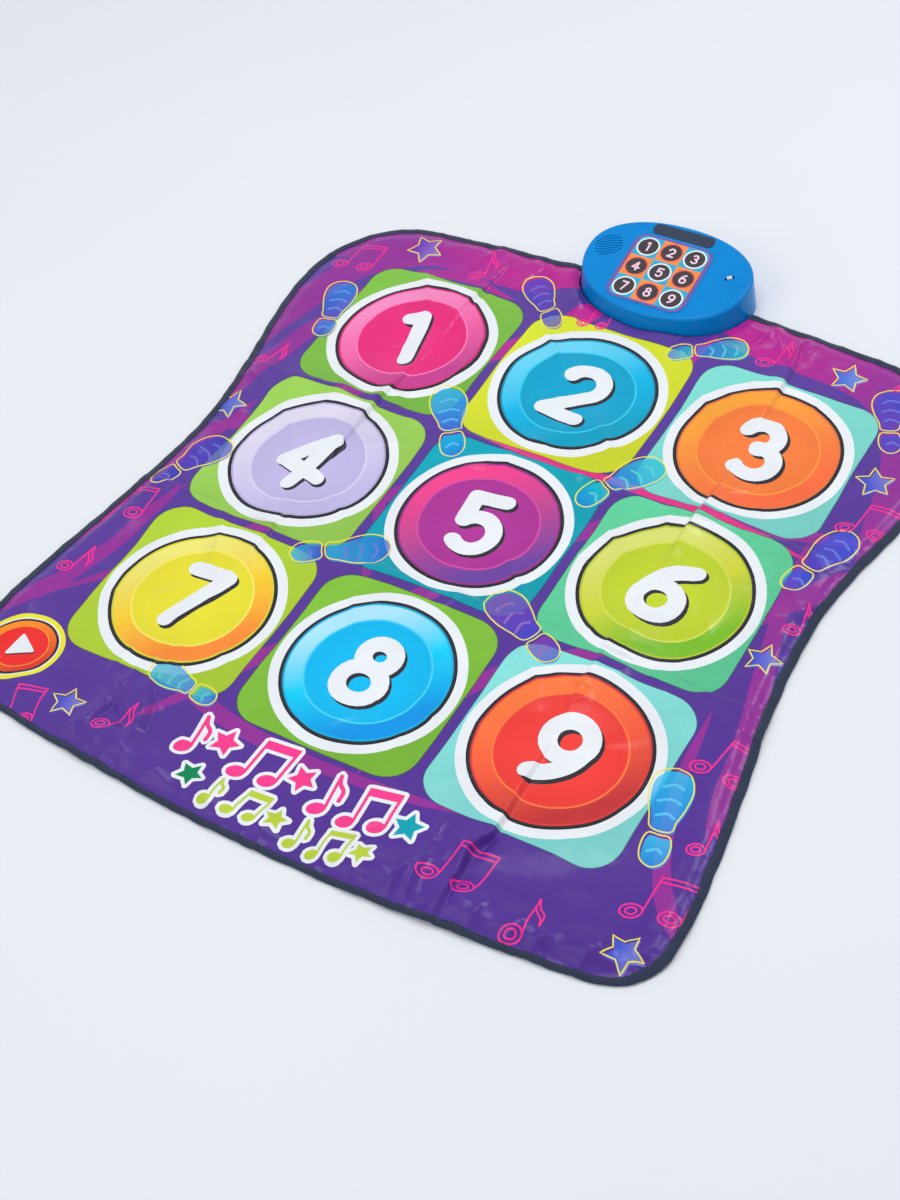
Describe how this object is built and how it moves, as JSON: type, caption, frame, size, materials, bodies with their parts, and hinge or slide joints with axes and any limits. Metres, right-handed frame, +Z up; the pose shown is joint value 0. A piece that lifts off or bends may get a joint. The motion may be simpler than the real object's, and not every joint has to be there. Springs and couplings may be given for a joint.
{
  "type": "electronic dance mat",
  "caption": "Sewn film dance mat with sprung foot pads and a tilted oval control box with a number panel, loudspeaker, slide switch and battery bay.",
  "frame": {"origin": "on the floor, in the middle of the whole object's bounding box", "axes": "+X to the right across the mat, +Y from the front edge towards the control box, +Z up"},
  "size_m": [0.864, 0.969, 0.0542],
  "materials": {
    "printed_film": "satin printed vinyl film",
    "pad_film": "satin printed vinyl film",
    "start_film": "satin printed vinyl film",
    "tape": "woven edge tape",
    "backing": "non-slip sheet",
    "contact_film": "clear polyester film with printed tracks",
    "carbon_print": "matt carbon print",
    "foam": "closed cell foam",
    "blue_plastic": "satin moulded plastic",
    "panel_film": "printed overlay film",
    "badge_film": "plain overlay film",
    "grey_plastic": "fine moulded plastic",
    "black_plastic": "moulded plastic",
    "white_plastic": "moulded plastic",
    "speaker_metal": "black lacquer",
    "circuit_board": "solder mask",
    "lamp": "clear moulded resin",
    "steel": "zinc plated",
    "rubber": "matt",
    "cell_sleeve": "plain sleeve"
  },
  "bodies": {
    "mat_and_box": {"cover_film": "printed_film", "edge_binding": "tape", "backing_sheet": "backing", "upper_contact_film": "contact_film", "lower_contact_film": "contact_film", "foam_spacer": "foam", "contact_1": "carbon_print", "contact_2": "carbon_print", "contact_3": "carbon_print", "contact_4": "carbon_print", "contact_5": "carbon_print", "contact_6": "carbon_print", "contact_7": "carbon_print", "contact_8": "carbon_print", "contact_9": "carbon_print", "contact_start": "carbon_print", "box_shell": "blue_plastic", "box_base": "blue_plastic", "number_panel": "panel_film", "badge": "badge_film", "switch_body": "black_plastic", "loudspeaker": "speaker_metal", "circuit_board": "circuit_board", "light_baffle": "white_plastic", "tail_clamp": "white_plastic", "lamp_1": "lamp", "lamp_2": "lamp", "lamp_3": "lamp", "lamp_4": "lamp", "lamp_5": "lamp", "lamp_6": "lamp", "lamp_7": "lamp", "lamp_8": "lamp", "lamp_9": "lamp", "cell_1": "cell_sleeve", "cell_2": "cell_sleeve", "cell_3": "cell_sleeve", "contact_strip_left": "steel", "contact_strip_right": "steel", "case_screw_1": "steel", "case_screw_2": "steel", "case_screw_3": "steel", "case_screw_4": "steel", "rubber_foot_1": "rubber", "rubber_foot_2": "rubber", "rubber_foot_3": "rubber", "rubber_foot_4": "rubber"},
    "pad_1_film": {"pad_1": "pad_film"},
    "pad_2_film": {"pad_2": "pad_film"},
    "pad_3_film": {"pad_3": "pad_film"},
    "pad_4_film": {"pad_4": "pad_film"},
    "pad_5_film": {"pad_5": "pad_film"},
    "pad_6_film": {"pad_6": "pad_film"},
    "pad_7_film": {"pad_7": "pad_film"},
    "pad_8_film": {"pad_8": "pad_film"},
    "pad_9_film": {"pad_9": "pad_film"},
    "pad_start_film": {"pad_start": "start_film"},
    "switch_slider": {"switch_knob": "grey_plastic"},
    "battery_cover": {"battery_door": "blue_plastic", "door_screw": "steel"}
  },
  "joints": [
    {"name": "pad_1_press", "type": "slide", "parent": "mat_and_box", "child": "pad_1_film", "axis": [0, 0, 1], "range_m": [-0.0017, 0], "stiffness_N_per_m": 3000, "springref_m": 0.0004},
    {"name": "pad_2_press", "type": "slide", "parent": "mat_and_box", "child": "pad_2_film", "axis": [0, 0, 1], "range_m": [-0.0017, 0], "stiffness_N_per_m": 3000, "springref_m": 0.0004},
    {"name": "pad_3_press", "type": "slide", "parent": "mat_and_box", "child": "pad_3_film", "axis": [0, 0, 1], "range_m": [-0.0017, 0], "stiffness_N_per_m": 3000, "springref_m": 0.0004},
    {"name": "pad_4_press", "type": "slide", "parent": "mat_and_box", "child": "pad_4_film", "axis": [0, 0, 1], "range_m": [-0.0017, 0], "stiffness_N_per_m": 3000, "springref_m": 0.0004},
    {"name": "pad_5_press", "type": "slide", "parent": "mat_and_box", "child": "pad_5_film", "axis": [0, 0, 1], "range_m": [-0.0017, 0], "stiffness_N_per_m": 3000, "springref_m": 0.0004},
    {"name": "pad_6_press", "type": "slide", "parent": "mat_and_box", "child": "pad_6_film", "axis": [0, 0, 1], "range_m": [-0.0017, 0], "stiffness_N_per_m": 3000, "springref_m": 0.0004},
    {"name": "pad_7_press", "type": "slide", "parent": "mat_and_box", "child": "pad_7_film", "axis": [0, 0, 1], "range_m": [-0.0017, 0], "stiffness_N_per_m": 3000, "springref_m": 0.0004},
    {"name": "pad_8_press", "type": "slide", "parent": "mat_and_box", "child": "pad_8_film", "axis": [0, 0, 1], "range_m": [-0.0017, 0], "stiffness_N_per_m": 3000, "springref_m": 0.0004},
    {"name": "pad_9_press", "type": "slide", "parent": "mat_and_box", "child": "pad_9_film", "axis": [0, 0, 1], "range_m": [-0.0017, 0], "stiffness_N_per_m": 3000, "springref_m": 0.0004},
    {"name": "pad_start_press", "type": "slide", "parent": "mat_and_box", "child": "pad_start_film", "axis": [0, 0, 1], "range_m": [-0.0017, 0], "stiffness_N_per_m": 1500, "springref_m": 0.0004},
    {"name": "switch_slide", "type": "slide", "parent": "mat_and_box", "child": "switch_slider", "axis": [0.766, 0.6347, 0.1017], "range_m": [-0.002, 0.002]},
    {"name": "battery_door_tilt", "type": "hinge", "parent": "mat_and_box", "child": "battery_cover", "pos_m": [0.015, 0.419, 0.0008], "axis": [-1, 0, 0], "range_deg": [0, 60]}
  ]
}
